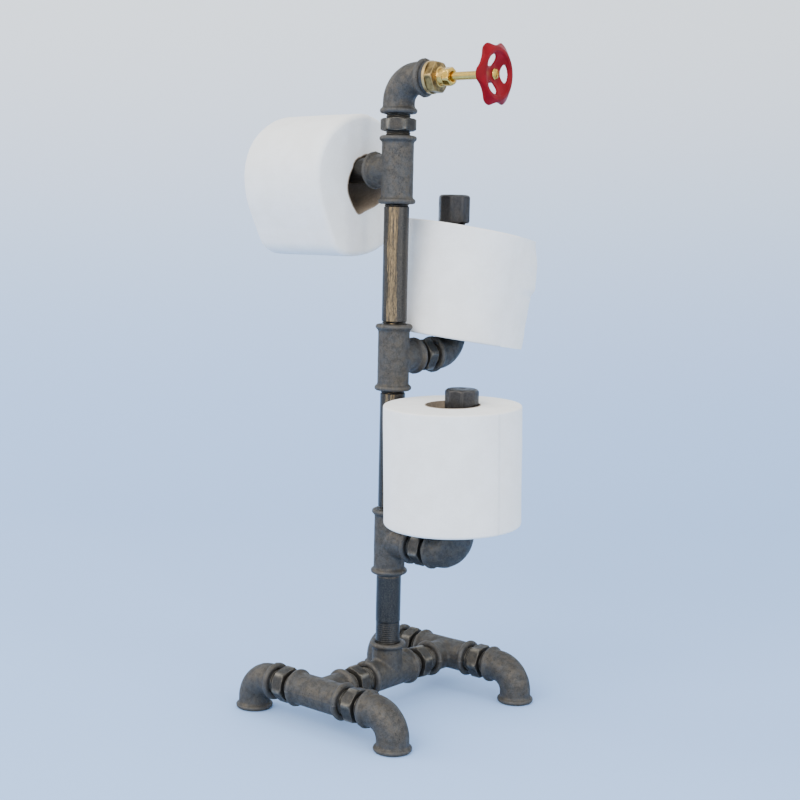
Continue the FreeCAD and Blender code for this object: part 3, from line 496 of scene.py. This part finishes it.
# ------------------------------------------------------------------------- cast pieces
def welded_copy(node_name):
    """A copy of a node's mesh with its split vertices joined, in the frame's own place."""
    source = frame["nodes"][node_name]
    work = bmesh.new()
    work.from_mesh(source.data)
    bmesh.ops.remove_doubles(work, verts=work.verts, dist=WELD)
    mesh = bpy.data.meshes.new(f"{node_name}_skin")
    work.to_mesh(mesh)
    work.free()
    return mesh


def remeshed(mesh, voxel, rounds):
    """The mesh rebuilt as an even net and smoothed, as paint or a casting skin rounds it."""
    scratch = bpy.data.objects.new("scratch", mesh)
    bpy.context.collection.objects.link(scratch)
    net = scratch.modifiers.new("net", "REMESH")
    net.mode = "VOXEL"
    net.voxel_size = voxel
    soft = scratch.modifiers.new("soft", "SMOOTH")
    soft.factor, soft.iterations = 0.5, rounds
    bpy.context.view_layer.update()
    result = bpy.data.meshes.new_from_object(scratch.evaluated_get(bpy.context.evaluated_depsgraph_get()))
    result.name = mesh.name
    bpy.data.objects.remove(scratch)
    bpy.data.meshes.remove(mesh)
    return result


SEAM_HALF, SEAM_RISE = 0.9 * MM, 0.34 * MM
SEAM_START = 11.6 * MM
INWARD = 0.55


def cast_skin(node_name, voxel, rounds, rough, seam=None):
    """A casting: slightly uneven all over, with the raised line where its mould halves met.
    seam is a point on the mould's plane, the plane's normal, and how far out the line starts."""
    mesh = remeshed(welded_copy(node_name), voxel, rounds)
    offset = Vector((sum(map(ord, node_name)) % 17, len(node_name), 3))
    count = len(mesh.vertices)
    points, normals = np.empty(3 * count), np.empty(3 * count)
    mesh.vertices.foreach_get("co", points)
    mesh.vertex_normals.foreach_get("vector", normals)
    for i in range(count):
        co, normal = Vector(points[3 * i:3 * i + 3]), Vector(normals[3 * i:3 * i + 3])
        lump = noise.noise(co / (7 * MM) + offset) * 0.7 + noise.noise(co / (2.2 * MM) + offset) * 0.3
        move = (lump - INWARD) * rough
        if seam:
            point, across, start = seam
            off = abs((co - point).dot(across))
            if off < SEAM_HALF and abs(normal.dot(across)) < 0.5 and outside(co, node_name) > start:
                move += SEAM_RISE * (0.5 + 0.5 * math.cos(math.pi * off / SEAM_HALF))
        points[3 * i:3 * i + 3] = co + normal * move
    mesh.vertices.foreach_set("co", points)
    mesh.update()
    finished(f"{node_name}_skin", mesh, node_name)


AXES = {}
FITTINGS = {}


def outside(co, node_name):
    """How far a point is from the nearest of a fitting's axes."""
    distances = []
    for start, axis in AXES[node_name]:
        off = co - start
        distances.append((off - axis * max(0.0, off.dot(axis))).length)
    return min(distances)


def fitting(node_name, centre, *ways):
    """States where a fitting's axes run, from its centre outwards."""
    centre = Vector(centre)
    AXES[node_name] = [(centre, Vector(way).normalized()) for way in ways]
    across = Vector(ways[0]).cross(Vector(ways[-1])).normalized()
    FITTINGS[node_name] = (centre, across, SEAM_START)


LEG_X = 77.9 * MM
BAR_Y = 83.6 * MM
ARM_OUT = 76.1 * MM
TEE_HEIGHTS = {"lower": 145.0 * MM, "middle": 303.5 * MM, "upper": 460.3 * MM}
ARM_TURNS = {"lower": -2.1, "middle": 88.5, "upper": 176.7}
POST_LENGTH = 85.6 * MM
UPPER_ARM_LENGTH = 112 * MM
SHOWN_THREAD, WORN_THREAD = 2.0 * MM, 18.0 * MM


def gap(distance):
    """What shows between two fittings whose centres are a distance apart."""
    return distance - 2 * FITTING_REACH


make_camera()
make_light()

for end, side in (("front", -1), ("rear", 1)):
    fitting(f"{end}_leg_tee", (0, side * BAR_Y, FITTING_REACH), (0, -side, 0), (-1, 0, 0), (1, 0, 0))
    for hand, way in (("left", -1), ("right", 1)):
        centre = (way * LEG_X, side * BAR_Y, FITTING_REACH)
        fitting(f"{end}_{hand}_foot_elbow", centre, (-way, 0, 0), (0, 0, -1))
fitting("base_tee", (0, 0, FITTING_REACH), (0, 0, 1), (0, -1, 0), (0, 1, 0))
for name, height in TEE_HEIGHTS.items():
    fitting(f"{name}_post_tee", (0, 0, height), level(ARM_TURNS[name]), -UP, UP)
for name in ("lower", "middle"):
    at = level(ARM_TURNS[name])
    fitting(f"{name}_arm_elbow", at * ARM_OUT + UP * TEE_HEIGHTS[name], -at, UP)
fitting("valve_elbow", (0, 0, VALVE_HEIGHT), level(VALVE_TURN), -UP)
for name, seam in FITTINGS.items():
    cast_skin(name, 0.9 * MM, 2, 0.16 * MM, seam)

# ------------------------------------------------------------------------- nipples, pipes, caps
for end, side in (("front", -1), ("rear", 1)):
    hex_nipple(f"{end}_bar_nipple", gap(BAR_Y), Z_TO_Y @ yaw(10 * side))
for name, turn in (("front_left", 14), ("front_right", -12), ("rear_left", 22), ("rear_right", 5)):
    hex_nipple(f"{name}_leg_nipple", gap(LEG_X), Z_TO_X @ yaw(turn))
for name, turn in (("lower", 14), ("middle", 52)):
    hex_nipple(f"{name}_arm_nipple", gap(ARM_OUT), yaw(ARM_TURNS[name]) @ Z_TO_X @ yaw(turn))
hex_nipple("top_nipple", gap(VALVE_HEIGHT - TEE_HEIGHTS["upper"]), yaw(32))

starts = {"lower": 2 * FITTING_REACH}
starts["middle"] = TEE_HEIGHTS["lower"] + FITTING_REACH
starts["upper"] = TEE_HEIGHTS["middle"] + FITTING_REACH
for name, start in starts.items():
    exposed = TEE_HEIGHTS[name] - FITTING_REACH - start
    low, look, faint = SHOWN_THREAD, None, 1.0
    if name == "lower":
        low, look, faint = WORN_THREAD, "lower_pipe_steel", 0.22
    place = Matrix.Translation(UP * start)
    threaded_pipe(f"{name}_post_pipe", place, exposed, low, SHOWN_THREAD, look, faint)
for name, turn in (("lower", 37.3), ("middle", 25.8)):
    foot = level(ARM_TURNS[name]) * ARM_OUT + UP * (TEE_HEIGHTS[name] + FITTING_REACH)
    threaded_pipe(f"{name}_roll_post", Matrix.Translation(foot), POST_LENGTH, SHOWN_THREAD, SHOWN_THREAD)
    octagon_cap(f"{name}_post_cap", Matrix.Translation(foot + UP * POST_LENGTH) @ yaw(turn))
arm = Matrix.Translation(UP * TEE_HEIGHTS["upper"]) @ yaw(ARM_TURNS["upper"]) @ Z_TO_X
arm_foot = arm @ Matrix.Translation(UP * FITTING_REACH)
threaded_pipe("upper_arm_pipe", arm_foot, UPPER_ARM_LENGTH, SHOWN_THREAD, SHOWN_THREAD, "lower_pipe_steel")
octagon_cap("upper_arm_cap", arm_foot @ Matrix.Translation(UP * UPPER_ARM_LENGTH))

# ------------------------------------------------------------------------- valve
VALVE_AXIS = Matrix.Translation(UP * VALVE_HEIGHT) @ yaw(VALVE_TURN) @ Z_TO_X
BONNET_FLATS, GLAND_FLATS = 24.0 * MM, 14.0 * MM
GLAND_START, GLAND_END = 47.2, 53.8


def faceted_rows(profile, hexagon):
    """Rows from (height, radius, faceted) in millimetres: round, or round and cut to a hexagon."""
    rows = []
    for height, radius, faceted in profile:
        rows.append((height * MM, limited(hexagon, radius * MM) if faceted else radius * MM))
    return rows


def make_bonnet():
    """Brass headwork: collar, big hexagon, cone, neck and the thread under the gland nut."""
    hexagon = polygon_radius(BONNET_FLATS, 6, 0.3 * MM)
    profile = [
        (21.5, 9.8, 0), (22.0, 10.45, 0), (31.5, 10.45, 0), (31.5, 13.1, 0), (31.9, 13.5, 0),
        (34.0, 13.5, 0), (34.3, 13.1, 0), (34.4, 12.9, 1), (34.6, 13.9, 1), (39.6, 13.9, 1),
        (40.3, 13.3, 1), (40.9, 12.4, 1), (41.2, 11.4, 0), (41.4, 10.0, 0), (42.5, 7.3, 0),
        (42.9, 7.2, 0), (46.9, 7.2, 0), (47.1, 7.0, 0), (47.1, 5.7, 0), (51.8, 5.7, 0),
        (52.0, 5.3, 0), (52.0, 3.5, 0), (49.7, 3.5, 0),
    ]
    rows = faceted_rows(profile, hexagon)
    mesh = turned_mesh("bonnet_skin", rows, corner_angles(6), VALVE_AXIS @ yaw(57))
    finished("bonnet_skin", mesh, "bonnet", sharp=30)


def make_gland_nut():
    """Small polished nut with rounded ends, drawn down over the packing."""
    hexagon = polygon_radius(GLAND_FLATS, 6, 0.25 * MM)
    start, end = GLAND_START, GLAND_END
    profile = [
        (start, 5.8, 0), (start, 6.6, 1), (start + 0.25, 7.2, 1), (start + 0.8, 7.75, 1),
        (end - 1.6, 7.75, 1), (end - 0.9, 7.3, 1), (end - 0.45, 6.7, 0), (end - 0.1, 5.9, 0),
        (end, 5.0, 0), (end - 0.1, 4.55, 0), (end - 0.9, 4.0, 0), (end - 1.5, 3.5, 0),
    ]
    rows = faceted_rows(profile, hexagon)
    mesh = turned_mesh("gland_nut_skin", rows, corner_angles(6), VALVE_AXIS @ yaw(22), close=False)
    finished("gland_nut_skin", mesh, "gland_nut", sharp=30)


make_bonnet()
make_gland_nut()
cast_skin("handwheel", 0.5 * MM, 4, 0.10 * MM)


# ------------------------------------------------------------------------- paper rolls
ROLL_RADIUS = 57.5 * MM
ROLL_WIDTH = 97 * MM
CORE_RADIUS = 22.0 * MM
BOARD_WALL = 0.9 * MM
SHEET_STEP = 0.45 * MM
END_INSET = 0.35 * MM
FACE_RINGS, CORNER_RINGS, SIDE_RINGS = 24, 7, 24
ROLL_STEPS, CORE_STEPS, CORE_SIDES = 180, 20, 96
CORE_INSET = 0.1 * MM
# the windings stop just short of a whole turn, so that the outer sheet's end shows as a step
WOUND_SHARE = 0.9985
TAIL_ACROSS, TAIL_UP = 44, 60
TAIL_THICK, TAIL_INSET = 0.35 * MM, 0.6 * MM


def roll_rows(corners, sag):
    """The rings of a roll's surface, from the core's lower end round to its upper end: share of
    the height, part of the way from core to edge, inset from the edge, and height."""
    rows = []
    for end, corner in enumerate(corners):
        end_rows = []
        for i in range(FACE_RINGS):
            part = i / (FACE_RINGS - 1)
            wound = (0.10 * math.sin(part * 61) + 0.07 * math.sin(part * 143 + 1)) * MM * (part < 1)
            end_rows.append((part, corner, END_INSET + wound - sag * (1 - end) * part ** 2))
        for i in range(1, CORNER_RINGS):
            sweep = math.pi / 2 * i / CORNER_RINGS
            rise = END_INSET + corner * (1 - math.cos(sweep)) - sag * (1 - end)
            end_rows.append((1.0, corner * (1 - math.sin(sweep)), rise))
        if end == 0:
            rows.extend((0.0, part, inset, depth) for part, inset, depth in end_rows)
            low = END_INSET + corner - sag
            high = ROLL_WIDTH - END_INSET - corners[1]
            for i in range(SIDE_RINGS):
                height = low + (high - low) * i / (SIDE_RINGS - 1)
                rows.append((height / ROLL_WIDTH, 1.0, 0.0, height))
        else:
            rows.extend((1.0, part, inset, ROLL_WIDTH - depth) for part, inset, depth in reversed(end_rows))
    return rows


def core_tube(name, place, core_shape):
    """The board core: its outside upwards, then its bore downwards."""
    heights = [CORE_INSET + (ROLL_WIDTH - 2 * CORE_INSET) * i / CORE_STEPS for i in range(CORE_STEPS + 1)]
    rows = [(height, lambda angle, _height: core_shape(angle) + BOARD_WALL) for height in heights]
    rows += [(height, lambda angle, _height: core_shape(angle)) for height in reversed(heights)]
    rows.append(rows[0])
    core = turned_mesh(f"{name}_core", rows, even_angles(CORE_SIDES), place, close=False)
    weld = bmesh.new()
    weld.from_mesh(core)
    bmesh.ops.remove_doubles(weld, verts=weld.verts, dist=WELD)
    weld.to_mesh(core)
    weld.free()
    finished(f"{name}_core", core, f"{name}_roll_core", sharp=SOFT_CRISP)


def paper_roll(name, place, shape, corners, seam, core_shape, sag=0.0, tail=None):
    """A wound roll about local Z, from its lower end up. shape gives the outer radius for an
    angle and a share of the height; corners are the corner radii of the two ends; seam is where
    the outer sheet ends; core_shape gives the bore's radius; sag is how far the outer windings
    have slipped down at the lower end."""
    count = ROLL_STEPS
    angles = [seam * DEG + 2 * math.pi * WOUND_SHARE * i / (count - 1) for i in range(count)]

    def outer(angle, share):
        turn = ((angle - seam * DEG) / (2 * math.pi)) % 1.0
        spot = Vector((math.cos(angle) * 1.6, math.sin(angle) * 1.6, share * 1.8))
        fine = Vector((math.cos(angle) * 7, math.sin(angle) * 7, share * 9))
        lump = 0.45 * MM * (noise.noise(spot + Vector((seam, 0, 0))) - 0.6) + 0.08 * MM * noise.noise(fine)
        return shape(angle, share) - SHEET_STEP * (1 - turn) + lump - 0.25 * MM

    rows = roll_rows(corners, sag)
    points = []
    for share, part, inset, height in rows:
        for angle in angles:
            inner = core_shape(angle) + BOARD_WALL
            size = inner + (outer(angle, share) - inset - inner) * part
            points.append((size * math.cos(angle), size * math.sin(angle), height))
    faces = []
    total = len(rows)
    for row in range(total):
        after = (row + 1) % total
        for i in range(count):
            j = (i + 1) % count
            faces.append((row * count + i, row * count + j, after * count + j, after * count + i))
    mesh = bpy.data.meshes.new(f"{name}_paper")
    mesh.from_pydata(points, [], faces)
    mesh.validate()
    if tail:
        add_tail(mesh, outer, *tail)
    mesh.transform(place)
    finished(f"{name}_paper", mesh, f"{name}_roll_paper", sharp=SOFT_CRISP)
    core_tube(name, place, core_shape)


def add_tail(mesh, outer, start, end, lift):
    """The loose end of the paper: the outer sheet leaves the roll at start degrees and stands
    free until end degrees. lift gives how far it stands off at each share of the height."""
    across, up = TAIL_ACROSS, TAIL_UP
    work = bmesh.new()
    work.from_mesh(mesh)
    sides = []
    for side in (0, 1):
        grid = []
        for i in range(across + 1):
            along = i / across
            line = []
            for k in range(up + 1):
                share = k / up
                angle = (start + (end - start) * along) * DEG
                wave = 0.5 * MM * noise.noise(Vector((along * 5, share * 7, 2))) * along
                stand = lift(share) * along ** 1.7 + wave + MM * (0.33 * min(1.0, along * 6) - 0.08)
                size = outer(angle, share) + stand - side * TAIL_THICK * (0.4 + 0.6 * along)
                ragged = 0.6 * MM * noise.noise(Vector((share * 12, 5, 1))) if i == across else 0
                angle += ragged / size
                height = TAIL_INSET + (ROLL_WIDTH - 2 * TAIL_INSET) * share
                line.append(work.verts.new((size * math.cos(angle), size * math.sin(angle), height)))
            grid.append(line)
        sides.append(grid)
    outside_grid, inside_grid = sides
    for i in range(across):
        for k in range(up):
            a, b = outside_grid[i], outside_grid[i + 1]
            work.faces.new((a[k], b[k], b[k + 1], a[k + 1]))
            a, b = inside_grid[i], inside_grid[i + 1]
            work.faces.new((a[k + 1], b[k + 1], b[k], a[k]))
        for k in (0, up):
            ring = (outside_grid[i][k], inside_grid[i][k], inside_grid[i + 1][k], outside_grid[i + 1][k])
            work.faces.new(ring if k == 0 else ring[::-1])
    for i in (0, across):
        for k in range(up):
            ring = (outside_grid[i][k], outside_grid[i][k + 1], inside_grid[i][k + 1], inside_grid[i][k])
            work.faces.new(ring if i == 0 else ring[::-1])
    bmesh.ops.recalc_face_normals(work, faces=work.faces)
    work.to_mesh(mesh)
    work.free()


def stepped(stops):
    """Smooth interpolation through (place, value) stops."""
    def at(place):
        for (low, first), (high, second) in zip(stops, stops[1:]):
            if place <= high:
                part = (place - low) / (high - low)
                part = part * part * (3 - 2 * part)
                return first + (second - first) * part
        return stops[-1][1]
    return at


def roll_place(x, y, z, axis):
    turn = UP.rotation_difference(Vector(axis).normalized())
    return Matrix.Translation((x * MM, y * MM, z * MM)) @ turn.to_matrix().to_4x4()


def outline(stops):
    """A smooth closed outline through (degrees, millimetres) stops, as a function of the angle."""
    places = [place for place, _ in stops]
    sizes = [size for _, size in stops]
    count = len(stops)

    def at(angle):
        turn = (angle / DEG - places[0]) % 360 + places[0]
        i = max(k for k in range(count) if places[k] <= turn)
        after = (i + 1) % count
        part = (turn - places[i]) / ((places[after] - places[i]) % 360)
        before, here, there, beyond = sizes[i - 1], sizes[i], sizes[after], sizes[(i + 2) % count]
        bend = 2 * before - 5 * here + 4 * there - beyond + part * (3 * (here - there) + beyond - before)
        return MM * (here + 0.5 * part * (there - before + part * bend))

    return at


def round_roll(_angle, _share):
    return ROLL_RADIUS


def round_core(_angle):
    return CORE_RADIUS


# The level roll hangs slack: cut in on the side towards the camera, sagging to a flat bottom.
# Angles run from that side (0) over the top (90).
slack_outline = outline([
    (-180, 58.0), (-145, 60.0), (-115, 61.6), (-100, 62.0), (-88, 62.8), (-78, 64.2), (-70, 64.8),
    (-62, 63.4), (-54, 59.4), (-46, 55.8), (-35, 53.2), (-24, 52.2), (-12, 52.2), (1, 53.0), (12, 54.2),
    (25, 55.2), (40, 56.2), (58, 57.0), (80, 58.6), (98, 60.2), (120, 60.0), (150, 58.6),
])
bore_outline = outline([
    (-180, 28.4), (-150, 27.2), (-132, 24.6), (-114, 23.0), (-99, 23.4), (-86, 25.6), (-81, 25.4),
    (-67, 22.1), (-50, 19.3), (-31, 17.9), (-14, 16.9), (8, 15.8), (35, 15.8), (62, 17.6), (85, 21.9),
    (107, 26.0), (130, 27.6), (155, 28.4),
])
UPPER_ROLL_HEIGHT = 449.25 * MM
UPPER_ROLL_START = 41.5 * MM
ARM_ABOVE = TEE_HEIGHTS["upper"] - UPPER_ROLL_HEIGHT
ARM_CLEAR = 0.35 * MM


def slack_roll(angle, _share):
    return slack_outline(angle)


def creased_core(angle):
    """The level roll's bore: pinched to a crease at the bottom, and clear of the arm inside it."""
    across, along = ARM_ABOVE * math.cos(angle), ARM_ABOVE * math.sin(angle)
    clear = 0.0
    if abs(across) < PIPE_RADIUS:
        clear = along + math.sqrt(PIPE_RADIUS ** 2 - across ** 2) + ARM_CLEAR
    return max(bore_outline(angle), clear)


lower_axis = (0, -math.sin(2.1 * DEG), math.cos(2.1 * DEG))
lower_place = roll_place(71.2, -4.8, 173.7, lower_axis)
paper_roll("lower", lower_place, round_roll, (2.6 * MM, 1.6 * MM), -11.5, round_core, 3.0 * MM)
middle_axis = (math.tan(4.5 * DEG), math.tan(7.8 * DEG), 1)
middle_place = roll_place(-0.7, 72.6, 316.9, middle_axis)
tail_lift = stepped([
    (0, 12.3 * MM), (0.26, 11.9 * MM), (0.40, 12.1 * MM), (0.49, 11.8 * MM), (0.56, 15.0 * MM),
    (0.75, 13.8 * MM), (1, 8.3 * MM),
])
tail = (4, 47, tail_lift)
paper_roll("middle", middle_place, round_roll, (1.8 * MM, 1.8 * MM), 46, round_core, tail=tail)
upper_start = level(ARM_TURNS["upper"]) * UPPER_ROLL_START + UP * UPPER_ROLL_HEIGHT
upper_place = Matrix.Translation(upper_start) @ yaw(ARM_TURNS["upper"]) @ Z_TO_X
paper_roll("upper", upper_place, slack_roll, (5.0 * MM, 7.0 * MM), 100, creased_core)

# ------------------------------------------------------------------------- the other nodes
for name, thing in frame["nodes"].items():
    thing.data.materials.clear()
    thing.data.materials.append(LOOKS[SLOT_OF[name]])


# ------------------------------------------------------------------------- stage
def make_stage():
    """One sheet that runs from the floor up into the backdrop in a wide curve."""
    near, far, top, bend = -3.2, 1.9, 3.0, 1.1
    flat_steps, bend_steps, strips, strip_width = 12, 16, 8, 0.9
    toward = Vector((-math.sin(CAMERA_YAW), math.cos(CAMERA_YAW), 0))
    across = Vector((math.cos(CAMERA_YAW), math.sin(CAMERA_YAW), 0))
    line = [(near + (far - bend - near) * i / flat_steps, 0.0) for i in range(flat_steps + 1)]
    for i in range(1, bend_steps + 1):
        sweep = math.pi / 2 * i / bend_steps
        line.append((far - bend + bend * math.sin(sweep), bend - bend * math.cos(sweep)))
    line.append((far, top))
    points, faces = [], []
    for out, height in line:
        for step in range(strips + 1):
            points.append(toward * out + across * (step - strips / 2) * strip_width + UP * height)
    row_length = strips + 1
    for row in range(len(line) - 1):
        for i in range(strips):
            a = row * row_length + i
            faces.append((a, a + 1, a + 1 + row_length, a + row_length))
    mesh = bpy.data.meshes.new("backdrop")
    mesh.from_pydata([tuple(p) for p in points], [], faces)
    for polygon in mesh.polygons:
        polygon.use_smooth = True
    look, tree, shader, place = new_look("backdrop_paper", 0.0, Specular_IOR_Level=0.1)
    # Painted light and shade: the sweep runs from a darker blue on the floor to pale grey a metre up.
    height = node(tree, "SeparateXYZ", {0: place}).outputs["Z"]
    colour = mixed(tree, spread(tree, height, 0.0, 1.0), (0.36, 0.54, 0.87), (0.86, 0.86, 0.83))
    fibre = cloud(tree, place, 220, 2)
    join(tree, shader, colour, spread(tree, fibre, 0.3, 0.7, 0.75, 0.85), fibre, 0.05, 0.0005)
    mesh.materials.append(look)
    backdrop = bpy.data.objects.new("backdrop", mesh)
    bpy.context.collection.objects.link(backdrop)


make_stage()
